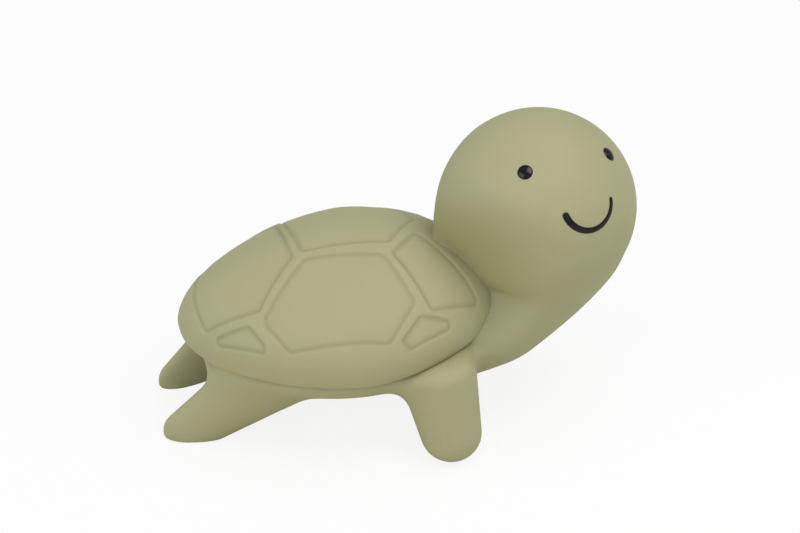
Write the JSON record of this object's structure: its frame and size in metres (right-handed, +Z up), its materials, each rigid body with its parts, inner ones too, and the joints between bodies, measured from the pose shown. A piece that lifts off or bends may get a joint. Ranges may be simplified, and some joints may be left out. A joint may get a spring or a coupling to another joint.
{
  "type": "squeaky bath toy",
  "caption": "Hollow rubber sea turtle bath toy with a domed carapace that presses in, stub flippers, a round turned head and a reed squeaker plugged into its belly.",
  "frame": {"origin": "on the floor under the middle of the whole toy's bounding box", "axes": "+X from the rear flippers towards the head, +Y to the turtle's left, +Z up"},
  "size_m": [0.1283, 0.073, 0.0843],
  "materials": {
    "rubber": "matte moulded natural rubber in straw green",
    "eye_paint": "glossy black enamel dot",
    "smile_paint": "satin near-black paint line",
    "squeaker_plastic": "translucent white moulded plastic",
    "reed_plastic": "thin amber plastic film"
  },
  "bodies": {
    "body": {"belly": "rubber", "shell_rim": "rubber", "head": "rubber", "front_left_flipper": "rubber", "front_right_flipper": "rubber", "rear_left_flipper": "rubber", "rear_right_flipper": "rubber", "left_eye": "eye_paint", "right_eye": "eye_paint", "smile": "smile_paint", "squeaker_housing": "squeaker_plastic", "reed_holder": "squeaker_plastic", "reed_wedge": "reed_plastic"},
    "crown": {"crown": "rubber"},
    "reed": {"squeaker_reed": "reed_plastic"}
  },
  "joints": [
    {"name": "squeeze", "type": "slide", "parent": "body", "child": "crown", "axis": [0.0628, 0, -0.998], "range_m": [0, 0.006], "stiffness_N_per_m": 1500, "springref_m": -0.001},
    {"name": "reed_flutter", "type": "hinge", "parent": "body", "child": "reed", "pos_m": [-0.0113, 0, 0.01953], "axis": [0, 1, 0], "range_deg": [-4, 3], "stiffness_Nm_per_rad": 0.001}
  ]
}
